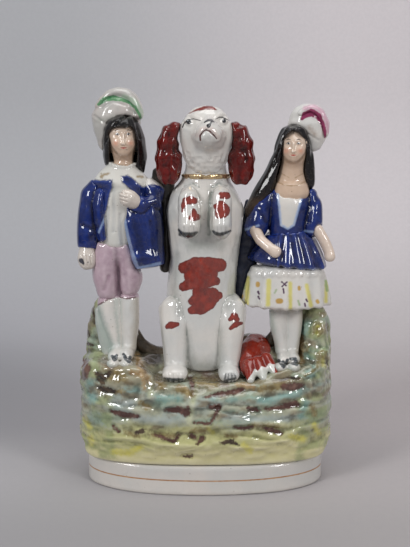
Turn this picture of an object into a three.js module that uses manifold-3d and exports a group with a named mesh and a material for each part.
// A flat-backed glazed pottery group for a mantelpiece: a begging spaniel between a boy and a girl,
// all three on a rocky mound over an oval plinth. The plinth and the mound are hollow and a slab with
// a vent hole closes them underneath. Every pressed member is its own solid, seated on the others with
// a thin luting joint. Millimetres, +Z up, the front faces -Y, and left and right are the viewer's.

import * as THREE from 'three';
import { LoftGeometry } from 'three/addons/geometries/LoftGeometry.js';
import { mergeVertices } from 'three/addons/utils/BufferGeometryUtils.js';
import Module from 'manifold-3d';

const wasm = await Module();
wasm.setup();

// Driving dimensions

const LUTING = 0.3; // joint between two members
const WELD = 0.002; // corners closer than this are one corner

const PLINTH = { length: 148, front: 36, back: 29, height: 18, wall: 7, bevel: 0.9, sides: 30 };
const SLAB = { thickness: 4, recess: 1.2, ledge: 3.6, ventRadius: 4, ventX: 24, ventY: -2 };
const MOUND = {
  length: 156,
  front: 38,
  back: 28,
  underBoy: 59, // heights of the ground above the plinth
  underDog: 49.5,
  underGirl: 57,
  leftSaddle: 60, // heights of the rock under the two windows
  rightSaddle: 69,
  undercut: 8, // how far the two ends rise clear of the plinth
  ledge: 1.7, // how far a ledge of rock stands out
  rough: 0.9, // and how rough its face is
  wall: 9,
  stations: 24,
};

// How far the boy's and the girl's shelves reach from their middles, and the window sills from
// the middles of the figures beside them; how long the slopes between them are.
const SHELF = { boy: 12, girl: 7, slope: 9.5 };
const SILL = { boy: 12, dog: 23.5, girl: 13, slope: 6.5, lift: 4 };

const moundFoot = PLINTH.height + LUTING;
const BOY = { x: -50, ground: PLINTH.height + MOUND.underBoy };
const DOG = { x: 0, ground: PLINTH.height + MOUND.underDog };
const GIRL = { x: 50, ground: PLINTH.height + MOUND.underGirl };

const GLAZE = {
  white: { color: 0xe6e5e0, roughness: 0.12 },
  cream: { color: 0xded8c8, roughness: 0.14 },
  flesh: { color: 0xd9b49c, roughness: 0.16 },
  black: { color: 0x1b181c, roughness: 0.14 },
  cobalt: { color: 0x1c2c7c, roughness: 0.12 },
  pink: { color: 0xcbb0bf, roughness: 0.16 },
  ironRed: { color: 0x7c2016, roughness: 0.15 },
  crimson: { color: 0x8e1d52, roughness: 0.15 },
  rock: { color: 0x9fb09a, roughness: 0.2 },
  moss: { color: 0x86a285, roughness: 0.2 },
  gilt: { color: 0xb98a3a, roughness: 0.3, metalness: 0.9 },
  biscuit: { color: 0xcfc6b4, roughness: 0.7 },
};

// Stations of the lofted members. Each row is one section: x from the figure's middle, y, height
// above the figure's ground, half width and half depth.

const DOG_FORM = {
  body: [
    [-1, -1, 0, 18, 14],
    [-1, -1, 14, 21.5, 17],
    [-2, -1, 34, 22, 18],
    [-2.5, -2, 50, 21, 17.5],
    [-0.5, -2.5, 70, 20.5, 17],
    [0, -3, 90, 22.8, 18],
    [0, -3, 101, 23.4, 18],
    [0, -3, 110, 20, 16],
    [0.5, -3, 117, 15, 13.5],
    [0.5, -4, 124, 12.2, 12],
    [0.5, -5, 132, 11.5, 11.5],
  ],
  head: [
    [0.5, -6, 124, 11, 11.5],
    [0.6, -8, 133, 13.6, 13.5],
    [0.8, -9, 142, 15.8, 15],
    [0.8, -9, 149, 15.8, 14.6],
    [0.8, -8, 153, 12.8, 11.5],
  ],
  muzzle: [
    [1.8, -12, 142, 12, 10],
    [2.2, -22, 143, 10, 9],
    [2.5, -28, 144.5, 7.4, 6.8],
  ],
  ear: [
    [16, -8, 149.5, 3, 6],
    [20.5, -9, 145.5, 5.2, 6],
    [22, -9, 138, 6.8, 6],
    [21.4, -9.5, 128, 8.2, 6],
    [21.5, -10, 118.6, 6.4, 5.4],
  ],
  foreleg: [
    [9.5, -15, 110, 5.2, 6],
    [9.4, -20, 107, 6.4, 8],
    [9.2, -22, 99, 6.6, 8],
    [9.2, -24, 92, 6.6, 8.4],
    [9.2, -26, 89, 6, 8],
  ],
  leftShank: [
    [-17, -2, 45, 6.4, 9],
    [-19, -8, 40, 9.4, 12],
    [-18.2, -12, 30, 9, 10],
    [-17.6, -14, 18, 8, 8],
    [-17.6, -15, 6, 7, 7.4],
  ],
  leftPaw: [
    [-18, -12, 4.2, 7, 4.4],
    [-17.8, -24, 4.6, 8, 5],
    [-17.8, -30, 4, 7.4, 4.2],
  ],
  rightShank: [
    [14.5, -2, 45, 6.4, 9],
    [16.6, -8, 40, 9, 12],
    [15.8, -12, 30, 8.6, 10],
    [14.6, -14, 18, 7.6, 8],
    [14.2, -15, 6, 6.6, 7.4],
  ],
  rightPaw: [
    [14.2, -12, 4.2, 6.2, 4.4],
    [14.2, -24, 4.6, 6.7, 5],
    [14.2, -30, 4, 6, 4.2],
  ],
  tail: [
    [33, 3, 18, 8, 5],
    [32, -6, 14, 10.4, 6],
    [29, -15, 8, 9.8, 6],
    [27, -22, 3, 6.4, 4],
  ],
};
const COLLAR = { drop: 4, band: 2.4, proud: 0.8 }; // drop: how far it lies below the head's foot

const BOY_FORM = {
  torso: [
    [-3, -2, 71, 12, 11],
    [-3, -3, 81, 12.5, 11.6],
    [-1, -3, 95, 15.5, 12.6],
    [0.5, -3, 105, 16.5, 11.8],
    [1, -3, 111, 11, 9],
  ],
  head: [
    [1.5, -5, 110, 6, 6],
    [1.5, -6, 119, 5.6, 6],
    [1.5, -8.4, 124, 6.4, 7.6],
    [1.5, -9.4, 129, 8.4, 9.2],
    [1.5, -9, 135, 8.6, 9],
    [1.5, -7, 140, 7, 7.6],
  ],
  hair: [
    [2, -2, 113, 11.4, 6],
    [2.3, -3.5, 122, 12.8, 9],
    [2, -6.6, 132, 12.2, 14.2],
    [1.4, -7.4, 139, 10.4, 13.2],
  ],
  fringe: { x: 1.6, z: 122, wide: 8, high: 17.4, from: -30, to: -8 },
  hat: [
    [-6, -1, 129, 9, 8],
    [-4, -1, 135, 13, 10],
    [-3, -1, 144, 15, 11],
    [-1, -1, 152, 12, 10],
  ],
  plume: [
    [-13, -2, 151, 2.8, 5.5],
    [-7, -3, 157.6, 3.2, 6.5],
    [1, -3, 159.6, 3.4, 7],
    [8, -3, 155, 3.4, 6.5],
    [11, -3, 145.5, 2.8, 5.5],
  ],
  collar: [
    [0.4, -3.5, 107, 17.8, 13],
    [0.7, -4, 111.6, 14.4, 11],
    [1.4, -5, 116, 9.6, 8.8],
  ],
  leftSleeve: [
    [-14, -3, 106, 5, 7],
    [-18, -4, 100, 6.6, 8],
    [-19.4, -5, 88, 7.2, 8.2],
    [-20.2, -6, 76, 7.2, 7.8],
    [-20.8, -7, 68, 6.2, 6.8],
  ],
  leftHand: [
    [-21, -7, 68, 4.6, 5],
    [-21, -9, 62, 5.9, 5.4],
    [-20.4, -10, 58, 5, 4.6],
  ],
  rightSleeve: [
    [14, -3, 106, 5.4, 7],
    [19.5, -5, 101, 7, 8],
    [19, -9, 94, 6.6, 7],
    [12, -14, 93.5, 6, 5.4],
    [8, -15.5, 95.5, 5, 4.8],
  ],
  rightHand: [
    [9, -16, 95.5, 4, 4],
    [5, -18, 98, 5, 4.6],
    [3.6, -18.5, 100, 4, 3.8],
  ],
  coat: [
    [16.8, -5, 57, 8.8, 12],
    [15.6, -5.4, 65, 10, 13.6],
    [13.6, -4.8, 78, 11.8, 14],
    [12, -3, 91, 12.4, 14.6],
    [11.5, -3, 99, 11.6, 14],
  ],
  coatBack: [
    [0, 5, 60, 13, 6],
    [-1, 5, 78, 15, 7],
    [-1, 4.6, 96, 17, 7.4],
    [0, 4, 104, 15, 6.4],
  ],
  coatFront: [
    [-10.5, -4, 73, 4, 12],
    [-12, -4, 82, 5, 13],
    [-12.4, -4, 94, 5.6, 13.6],
    [-11, -4, 102, 5, 12],
  ],
  pelvis: [
    [-3.5, -2, 62, 13, 10.5],
    [-3.5, -2, 73, 12.6, 11.4],
  ],
  leftThigh: [
    [-8.6, -3, 70, 9, 10],
    [-10.4, -4, 60, 8.6, 9.8],
    [-10.2, -4, 48, 8.2, 8.8],
    [-9.4, -3.5, 39, 6.6, 7],
  ],
  rightThigh: [
    [2, -3, 70, 8, 10],
    [4.8, -4, 60, 7.4, 9.8],
    [4.9, -4, 48, 7.2, 8.6],
    [3.8, -4, 41, 5.6, 6.8],
  ],
  leftLeg: [
    [-9.4, -3, 46, 5, 5.6],
    [-9.8, -4, 32, 5.6, 6],
    [-7.6, -3.6, 21, 5.8, 6],
    [-5, -4, 10, 4, 4.6],
    [-4, -5, 4, 3.8, 4.4],
  ],
  leftShoe: [
    [-3.6, -3, 3.4, 3.4, 3.6],
    [-4.2, -12, 3, 3.9, 3.2],
    [-4.8, -18, 2.6, 3.5, 2.7],
  ],
  rightLeg: [
    [3.8, -3, 48, 5, 5.6],
    [3.8, -4, 32, 5.2, 5.8],
    [3.8, -3.6, 20, 5, 5.8],
    [3.4, -4, 10, 3.7, 4.4],
    [3.2, -5, 4, 3.6, 4.4],
  ],
  rightShoe: [
    [3.2, -3, 3.6, 3.4, 3.6],
    [2.8, -12, 3.4, 3.8, 3.2],
    [2.4, -18, 3, 3.4, 2.7],
  ],
};

const GIRL_FORM = {
  head: [
    [1.8, -6, 102, 11, 8],
    [1.6, -6, 109, 9.2, 7.8],
    [1.8, -6.6, 115, 7.4, 7.2],
    [2.2, -8, 121, 6.6, 7],
    [2.8, -9.8, 126, 7.2, 7.8],
    [3, -9.6, 131.5, 7.6, 8.2],
    [2.8, -7.6, 136.4, 6.4, 6.8],
  ],
  hair: [
    [2, -3, 113, 10.6, 7],
    [2, -4, 122, 11.2, 10],
    [2, -6.8, 131, 10.4, 13.8],
    [2, -7, 137, 8.2, 12],
  ],
  leftLock: [
    [-3, -4, 128, 4.4, 7],
    [-9.4, -3, 114, 4.6, 8],
    [-15.8, -2, 101, 5.6, 8],
    [-21.5, -1, 90, 5, 6],
  ],
  rightLock: [
    [11, -4, 126, 3.2, 6],
    [12.6, -3, 115, 3, 6],
    [12.8, -3, 107, 2.7, 5],
  ],
  parting: { x: 3, z: 121.5, wide: 6.9, high: 16.6, from: -30, to: -8 },
  hat: [
    [13, -1, 131, 7.8, 6],
    [12.4, -1, 136, 11.6, 8],
    [11.8, -1, 143, 12.8, 9],
    [11.2, -1, 150, 10.2, 7.6],
  ],
  plume: [
    [5.6, -7.5, 149, 2, 2.4],
    [11.4, -8.4, 152.2, 2.3, 2.6],
    [17.2, -8.6, 149.6, 2.3, 2.8],
    [20.6, -8, 143, 2.2, 2.6],
    [21.4, -7, 137, 1.9, 2.2],
  ],
  bodice: [
    [0.7, -3, 77, 11.6, 10],
    [0.6, -3, 85, 12.8, 11],
    [0.5, -3, 95, 14, 12],
    [0.5, -3, 103, 14, 10.6],
  ],
  leftSleeve: [
    [-10, -3, 103, 5, 7],
    [-14, -4, 96, 7, 8],
    [-18, -5, 86, 7.4, 8],
    [-20, -6, 80, 7.2, 7.6],
  ],
  rightSleeve: [
    [12, -3, 103, 5, 7],
    [15.2, -4, 95, 5.8, 8],
    [14.6, -6, 84, 6.4, 8],
    [14, -6.4, 80, 6.2, 7.6],
  ],
  leftForearm: [
    [-20.5, -8, 82, 3.4, 4],
    [-17, -12, 75, 3.2, 3.6],
    [-11.5, -17, 70.5, 3, 3],
    [-7.5, -19, 68, 3.6, 2.8],
  ],
  rightForearm: [
    [16.5, -9, 82, 3.3, 4],
    [21, -10, 75, 3.2, 3.6],
    [24.2, -11, 68, 3, 3.2],
    [24.8, -12, 64, 3.2, 3],
  ],
  peplum: [
    [1, -3, 82, 11.4, 10],
    [1.2, -3, 77, 14.8, 11.8],
    [0.6, -3, 68, 20.8, 15],
    [-0.2, -3, 60, 24, 17.4],
  ],
  skirt: [
    [0, -3, 58, 21.8, 14.2],
    [0, -3, 48, 24.8, 16],
    [0, -3, 35, 26.8, 17],
  ],
  leftLeg: [
    [-5, -2, 40, 5.6, 6],
    [-4.5, -3, 22, 5.3, 5.8],
    [-2.8, -5, 9, 3.8, 4.4],
    [-2.8, -5, 4, 3.6, 4.2],
  ],
  leftShoe: [
    [-2.8, -3, 3.4, 3.2, 3.6],
    [-2.9, -12, 3, 3.5, 3.1],
    [-3, -18, 2.6, 3.2, 2.6],
  ],
  rightLeg: [
    [5, -2, 40, 5.2, 6],
    [4.8, -3, 22, 4.9, 5.6],
    [4.2, -5, 10, 3.6, 4.2],
    [3.8, -5, 4, 3.5, 4.2],
  ],
  rightShoe: [
    [3.8, -3, 3.6, 3.2, 3.6],
    [3.8, -12, 3.4, 3.5, 3.1],
    [3.9, -18, 3, 3.2, 2.6],
  ],
};

// Rock that stands behind the figures' legs; x from the figure's middle, z from its ground.
const STUMP = [
  [-8.5, 4, -14, 16.4, 10],
  [-8.5, 4, 9, 16, 8.6],
  [-7, 4, 22, 14.6, 8],
  [-6, 4, 32, 13, 7.6],
];
const BUSH = {
  back: [
    [6, 5, -14, 16, 8],
    [6, 5, 10, 15, 7],
    [6, 5, 30, 13.4, 6.6],
  ],
  clump: [
    [18, -2, -16, 9.6, 14],
    [18.4, -1, 5, 9.2, 11.6],
    [19, 0, 20, 8.4, 10],
    [19.5, 0, 28, 7, 8.4],
  ],
};

// The walls of clay left between the figures, behind their arms. x from the dog's middle.
const WEBS = {
  left: [
    [-24.2, 4, 62, 3.6, 4.6],
    [-26, 4, 82, 7.4, 5],
    [-27, 4, 100, 9, 5],
    [-25, 4, 124, 7, 4.6],
  ],
  right: [
    [24, 4, 42, 7, 4.6],
    [25, 4, 66, 8, 5],
    [26, 4, 92, 8, 5],
  ],
};

const PLEATS = { peplum: 12, skirt: 13, depth: 0.045 };
const CURLS = { count: 5, depth: 0.09 };
const SCALLOPS = { count: 7, depth: 0.035 };
const LUMPS = { depth: 0.055 };

// Operations

const BACK = new THREE.Vector3(0, 1, 0);
const UP = new THREE.Vector3(0, 0, 1);
const even = () => 1;
// The turns at which the domed end of a member has its sections.
const BLUNT = [THREE.MathUtils.degToRad(58)];
const ROUND = [THREE.MathUtils.degToRad(40), THREE.MathUtils.degToRad(74)];

// A closed solid of a geometry: only its corners are left, and shared corners are one.
function toSolid(geometry) {
  const bare = corners(geometry);
  return new wasm.Manifold(new wasm.Mesh({
    numProp: 3,
    vertProperties: new Float32Array(bare.attributes.position.array),
    triVerts: new Uint32Array(bare.index.array),
  }));
}

function corners(geometry) {
  const bare = new THREE.BufferGeometry().copy(geometry);
  bare.deleteAttribute('normal');
  bare.deleteAttribute('uv');
  return mergeVertices(bare, WELD);
}

// The same form swollen by a distance along its own normals, which cuts a seat in its neighbours.
function swollen(geometry, distance) {
  const bare = corners(geometry);
  bare.computeVertexNormals();
  const { position, normal } = bare.attributes;
  for (let i = 0; i < position.count; i += 1) {
    position.setXYZ(
      i,
      position.getX(i) + distance * normal.getX(i),
      position.getY(i) + distance * normal.getY(i),
      position.getZ(i) + distance * normal.getZ(i),
    );
  }
  return bare;
}

function joined(solids) {
  return solids.reduce((whole, solid) => whole.add(solid));
}

function power(value, exponent) {
  return Math.sign(value) * Math.abs(value) ** exponent;
}

// One section of a loft: an oval in the plane of two directions, squarer towards the back.
function oval(centre, side, depth, wide, deep, { sides, front, back, form }, along) {
  return Array.from({ length: sides }, (_, i) => {
    const angle = (2 * Math.PI * i) / sides;
    const exponent = 2 / (Math.sin(angle) > 0 ? back : front);
    const swell = form(angle, along);
    return centre.clone()
      .addScaledVector(side, wide * swell * power(Math.cos(angle), exponent))
      .addScaledVector(depth, deep * swell * power(Math.sin(angle), exponent));
  });
}

// A member lofted through its stations, with domed ends. Its depth is measured along hint.
function member(rows, options = {}) {
  const spec = {
    sides: 8, front: 2, back: 2.2, form: even, hint: BACK, dome: 0.7, turns: BLUNT, ...options,
  };
  const steps = options.steps ?? rows.length - 1;
  const centres = new THREE.CatmullRomCurve3(rows.map(([x, y, z]) => new THREE.Vector3(x, y, z)));
  const halves = new THREE.CatmullRomCurve3(rows.map(([, , , wide, deep]) => (
    new THREE.Vector3(wide, deep, 0))));
  const sections = [];
  const addSection = (along, shift, scale) => {
    const direction = centres.getTangent(along);
    const side = new THREE.Vector3().crossVectors(spec.hint, direction).normalize();
    const depth = new THREE.Vector3().crossVectors(direction, side).normalize();
    const half = halves.getPoint(along);
    const reach = Math.min(half.x, half.y) * spec.dome;
    const centre = centres.getPoint(along).addScaledVector(direction, shift * reach);
    sections.push(oval(centre, side, depth, half.x * scale, half.y * scale, spec, along));
  };
  spec.turns.toReversed().forEach((turn) => addSection(0, -Math.sin(turn), Math.cos(turn)));
  for (let i = 0; i <= steps; i += 1) addSection(i / steps, 0, 1);
  spec.turns.forEach((turn) => addSection(1, Math.sin(turn), Math.cos(turn)));
  return new LoftGeometry(sections, { capStart: true, capEnd: true });
}

// The rows of a form, moved to where its figure stands.
function stand(figure, rows) {
  return rows.map(([x, y, z, wide, deep]) => [x + figure.x, y, z + figure.ground, wide, deep]);
}

function mirrored(rows) {
  return rows.map(([x, ...rest]) => [-x, ...rest]);
}

// The opening for a face: an oval bar from in front of the figure to the middle of the head.
function faceOpening(figure, { x, z, wide, high, from, to }) {
  const rows = stand(figure, [[x, from, z, wide, high], [x, to, z, wide, high]]);
  return toSolid(member(rows, { hint: UP, steps: 1, dome: 0.1 }));
}

// The plinth, its slab and the mound

// The plan of the plinth, drawn in by an inset: rounder in front, flatter behind.
function plinthRing(z, inset) {
  const spec = { sides: PLINTH.sides, front: 2.3, back: 3, form: even };
  const ring = [];
  for (let i = 0; i < spec.sides; i += 1) {
    const angle = (2 * Math.PI * i) / spec.sides;
    const behind = Math.sin(angle) > 0;
    const exponent = 2 / (behind ? spec.back : spec.front);
    const deep = behind ? PLINTH.back : PLINTH.front;
    const x = (PLINTH.length / 2 - inset) * power(Math.cos(angle), exponent);
    const y = (deep - inset) * power(Math.sin(angle), exponent);
    ring.push(new THREE.Vector3(x, y, z));
  }
  return ring;
}

function plinthLoft(levels) {
  const sections = levels.map(([z, inset]) => plinthRing(z, inset));
  return new LoftGeometry(sections, { capStart: true, capEnd: true });
}

const slabTop = SLAB.recess + SLAB.thickness;

function plinth() {
  const { height, bevel, wall } = PLINTH;
  const outer = plinthLoft([[0, bevel], [bevel, 0], [height - bevel, 0], [height, bevel]]);
  const rebate = plinthLoft([[-1, SLAB.ledge], [slabTop + LUTING, SLAB.ledge]]);
  const hollow = plinthLoft([[0, wall], [height + 1, wall]]);
  return toSolid(outer).subtract(toSolid(rebate)).subtract(toSolid(hollow));
}

function baseSlab() {
  const inset = SLAB.ledge + LUTING;
  const slab = plinthLoft([[SLAB.recess, inset], [slabTop, inset]]);
  const vent = new THREE.CylinderGeometry(SLAB.ventRadius, SLAB.ventRadius, 3 * SLAB.thickness, 20);
  vent.rotateX(Math.PI / 2).translate(SLAB.ventX, SLAB.ventY, slabTop);
  return toSolid(slab).subtract(toSolid(vent));
}

// A value read off a line of [position, value] pairs, with soft turns between them.
function along(line, position) {
  const next = line.findIndex(([at]) => at > position);
  if (next === 0) return line[0][1];
  if (next < 0) return line.at(-1)[1];
  const [[from, low], [to, high]] = [line[next - 1], line[next]];
  return THREE.MathUtils.lerp(low, high, THREE.MathUtils.smoothstep(position, from, to));
}

// The front terrace of the mound and the ridge behind it, from left to right.
const leftSill = PLINTH.height + MOUND.leftSaddle;
const rightSill = PLINTH.height + MOUND.rightSaddle;
const TERRACE = [
  [BOY.x + SHELF.boy, BOY.ground],
  [BOY.x + SHELF.boy + SHELF.slope, DOG.ground],
  [GIRL.x - SHELF.girl - SHELF.slope, DOG.ground],
  [GIRL.x - SHELF.girl, GIRL.ground],
];
const RIDGE = [
  [BOY.x + SILL.boy - SILL.slope, BOY.ground + SILL.lift],
  [BOY.x + SILL.boy, leftSill],
  [DOG.x - SILL.dog, leftSill],
  [DOG.x - SILL.dog + SHELF.slope, DOG.ground + 2 * SILL.lift],
  [DOG.x + SILL.dog - SHELF.slope, DOG.ground + 2 * SILL.lift],
  [DOG.x + SILL.dog, rightSill],
  [GIRL.x - SILL.girl, rightSill],
  [GIRL.x - SILL.girl + SILL.slope, GIRL.ground + SILL.lift],
];

// The rough of the rock at a place on its face.
function roughness(x, z) {
  return Math.sin(x * 0.23 + z * 0.31) + 0.7 * Math.sin(x * 0.41 - z * 0.19 + 1.3);
}

// One upright slice of the mound: flat underneath and behind, ledges in front, a terrace on top.
function moundSlice(x) {
  const half = MOUND.length / 2;
  const share = Math.min(Math.abs(x) / half, 0.992);
  const front = -MOUND.front * (1 - share ** 2.6) ** (1 / 2.6);
  const back = MOUND.back * (1 - share ** 3.6) ** (1 / 3.6);
  const foot = moundFoot + MOUND.undercut * THREE.MathUtils.smoothstep(share, 0.9, 1);
  const shoulder = 7 * THREE.MathUtils.smoothstep(share, 0.9, 1);
  const terrace = along(TERRACE, x) - shoulder;
  const ridge = Math.max(along(RIDGE, x) - shoulder, terrace);
  const slice = [
    [0.9 * front, foot],
    [0.94 * back, foot],
    [back, foot + 6],
    [back, terrace - 8],
    [0.72 * back, ridge],
    [0.1 * back, ridge],
    [0.3 * front, (ridge + terrace) / 2],
    [0.5 * front, terrace],
    [0.84 * front, terrace],
  ];
  const rises = 7;
  for (let i = 1; i < rises; i += 1) {
    const z = THREE.MathUtils.lerp(terrace, foot, i / rises);
    const lean = 0.9 + 0.1 * Math.sin((Math.PI * i) / rises);
    const ledge = MOUND.ledge * (i % 2 ? 1 : -0.4);
    const rough = MOUND.rough * roughness(x, z);
    slice.push([lean * front - (1 - share) * (ledge + rough), z]);
  }
  return slice.map(([y, z]) => new THREE.Vector3(x, y, z));
}

function moundOuter() {
  const half = MOUND.length / 2;
  const sections = Array.from({ length: MOUND.stations + 1 }, (_, i) => (
    moundSlice(half * Math.sin((Math.PI * (i / MOUND.stations - 0.5))) )));
  return new LoftGeometry(sections, { capStart: true, capEnd: true });
}

function moundHollow() {
  const roof = DOG.ground - MOUND.wall;
  const levels = [[moundFoot - 1, MOUND.wall], [roof - 14, MOUND.wall + 2], [roof, MOUND.wall + 14]];
  return toSolid(plinthLoft(levels));
}

// Forms that swell and sink round a section

const curls = (angle, down) => 1 + CURLS.depth * Math.sin(2 * Math.PI * CURLS.count * down);
const pleated = (count) => ({
  sides: 2 * count,
  steps: 3,
  dome: 0.15,
  form: (angle, down) => 1 + PLEATS.depth * down * Math.cos(count * angle),
});
const scallops = (angle, up) => 1 + SCALLOPS.depth * (1 - up) * Math.cos(SCALLOPS.count * angle);
const lumps = (angle, up) => 1 + LUMPS.depth * Math.sin(5 * angle + 9 * up) * Math.sin(11 * up + angle);

// A band round the dog's neck, standing a little proud of it.
function collarBand() {
  const neck = stand(DOG, DOG_FORM.body);
  const curve = new THREE.CatmullRomCurve3(neck.map(([, , z, wide, deep]) => (
    new THREE.Vector3(wide, deep, z))));
  const level = DOG.ground + DOG_FORM.head[0][2] - COLLAR.drop;
  const { x: wide, y: deep } = curve.getPoints(200).find(({ z }) => z >= level);
  const [x, y] = [DOG.x + 0.5, -3.4];
  const rows = [-0.5, 0.5].map((end) => (
    [x, y, level + end * COLLAR.band, wide + COLLAR.proud, deep + COLLAR.proud]));
  return member(rows, { sides: 22, steps: 1, dome: 0.1 });
}

// The members in the order in which they are seated: each is cut by all before it. A member may be
// luted up from several pressed forms.

const dog = (name, options) => member(stand(DOG, DOG_FORM[name]), options);
const boy = (name, options) => member(stand(BOY, BOY_FORM[name]), options);
const girl = (name, options) => member(stand(GIRL, GIRL_FORM[name]), options);
const alongFloor = { hint: UP, steps: 2 };
const webForm = { sides: 6, dome: 0.3 };
const fullForm = { sides: 12, back: 2.8 };
const headForm = { sides: 12, turns: ROUND };

const MEMBERS = [
  ['dog_body', 'white', [dog('body', { ...fullForm, sides: 16 })]],
  ['dog_head', 'white', [dog('head', headForm), dog('muzzle', { hint: UP, turns: ROUND })]],
  ['dog_collar', 'gilt', [collarBand()]],
  ['dog_left_ear', 'ironRed', [member(stand(DOG, mirrored(DOG_FORM.ear)), { form: curls, steps: 9 })]],
  ['dog_right_ear', 'ironRed', [dog('ear', { form: curls, steps: 9 })]],
  ['dog_left_foreleg', 'white', [member(stand(DOG, mirrored(DOG_FORM.foreleg)))]],
  ['dog_right_foreleg', 'white', [dog('foreleg')]],
  ['dog_left_hind_leg', 'white', [dog('leftShank'), dog('leftPaw', alongFloor)]],
  ['dog_right_hind_leg', 'white', [dog('rightShank'), dog('rightPaw', alongFloor)]],
  ['dog_tail', 'ironRed', [dog('tail')]],

  ['boy_shirt', 'cream', [boy('torso', fullForm)]],
  ['boy_head', 'flesh', [boy('head', headForm)]],
  ['boy_collar', 'white', [boy('collar', { sides: 2 * SCALLOPS.count, form: scallops })]],
  ['boy_hair', 'black', [boy('hair', headForm)], faceOpening(BOY, BOY_FORM.fringe)],
  ['boy_hat', 'cream', [boy('hat', headForm)]],
  ['boy_plume', 'cream', [boy('plume', { steps: 7 })]],
  ['boy_right_hand', 'white', [boy('rightHand')]],
  ['boy_left_hand', 'white', [boy('leftHand')]],
  ['boy_left_sleeve', 'cobalt', [boy('leftSleeve')]],
  ['boy_right_sleeve', 'cobalt', [boy('rightSleeve')]],
  ['boy_coat', 'cobalt', [boy('coat', { ...fullForm, front: 2.8 }), boy('coatBack')]],
  ['boy_coat_front', 'cobalt', [boy('coatFront')]],
  ['boy_breeches', 'pink', [boy('pelvis'), boy('leftThigh'), boy('rightThigh')]],
  ['boy_left_leg', 'white', [boy('leftLeg'), boy('leftShoe', alongFloor)]],
  ['boy_right_leg', 'white', [boy('rightLeg'), boy('rightShoe', alongFloor)]],
  ['left_rock_stump', 'moss', [member(stand(BOY, STUMP), { sides: 12, form: lumps, steps: 4 })]],

  ['girl_head', 'flesh', [girl('head', headForm)]],
  ['girl_hair', 'black', [girl('hair', headForm), girl('leftLock'), girl('rightLock')],
    faceOpening(GIRL, GIRL_FORM.parting)],
  ['girl_hat', 'white', [girl('hat', headForm)]],
  ['girl_plume', 'crimson', [girl('plume', { sides: 6, steps: 7 })]],
  ['girl_left_forearm', 'flesh', [girl('leftForearm', { sides: 10 })]],
  ['girl_right_forearm', 'flesh', [girl('rightForearm', { sides: 10 })]],
  ['girl_bodice', 'cobalt', [girl('bodice', fullForm)]],
  ['girl_left_sleeve', 'cobalt', [girl('leftSleeve')]],
  ['girl_right_sleeve', 'cobalt', [girl('rightSleeve')]],
  ['girl_peplum', 'cobalt', [girl('peplum', pleated(PLEATS.peplum))]],
  ['girl_skirt', 'white', [girl('skirt', pleated(PLEATS.skirt))]],
  ['girl_left_leg', 'white', [girl('leftLeg', { sides: 12 }), girl('leftShoe', alongFloor)]],
  ['girl_right_leg', 'white', [girl('rightLeg', { sides: 12 }), girl('rightShoe', alongFloor)]],
  ['right_rock_bush', 'moss', [
    member(stand(GIRL, BUSH.back)),
    member(stand(GIRL, BUSH.clump), { sides: 10, form: lumps, steps: 5 }),
  ]],
  ['left_web', 'black', [member(stand(DOG, WEBS.left), webForm)]],
  ['right_web', 'black', [member(stand(DOG, WEBS.right), webForm)]],
];

// Assembly

function touches(a, b) {
  const [p, q] = [a.boundingBox(), b.boundingBox()];
  return [0, 1, 2].every((axis) => p.min[axis] < q.max[axis] && q.min[axis] < p.max[axis]);
}

// What is left of a solid when all the seats of the members before it are cut away.
function seated(solid, seats) {
  const cut = seats
    .filter((seat) => touches(solid, seat))
    .reduce((rest, seat) => rest.subtract(seat), solid);
  return cut.decompose().reduce((a, b) => (a.volume() > b.volume() ? a : b));
}

function toMesh(name, glaze, solid) {
  const { vertProperties, triVerts } = solid.getMesh();
  const geometry = new THREE.BufferGeometry();
  geometry.setAttribute('position', new THREE.BufferAttribute(new Float32Array(vertProperties), 3));
  geometry.setIndex(new THREE.BufferAttribute(new Uint32Array(triVerts), 1));
  geometry.computeVertexNormals();
  const mesh = new THREE.Mesh(geometry, new THREE.MeshStandardMaterial({ metalness: 0, ...GLAZE[glaze] }));
  mesh.name = name;
  return mesh;
}

const group = new THREE.Group();
group.name = 'pottery_group';
group.add(toMesh('plinth', 'white', plinth()));
group.add(toMesh('base_slab', 'biscuit', baseSlab()));

const outer = moundOuter();
group.add(toMesh('rockwork', 'rock', toSolid(outer).subtract(moundHollow())));

const seats = [toSolid(swollen(outer, LUTING))];
MEMBERS.forEach(([name, glaze, forms, opening]) => {
  const whole = joined(forms.map(toSolid));
  const solid = seated(opening ? whole.subtract(opening) : whole, seats);
  group.add(toMesh(name, glaze, solid));
  seats.push(joined(forms.map((form) => toSolid(swollen(form, LUTING)))));
});

// The origin is the middle of the footprint, on the surface that the plinth stands on.
const box = new THREE.Box3().setFromObject(group);
const middle = box.getCenter(new THREE.Vector3());
group.position.set(-middle.x, -middle.y, -box.min.z);

export default group;
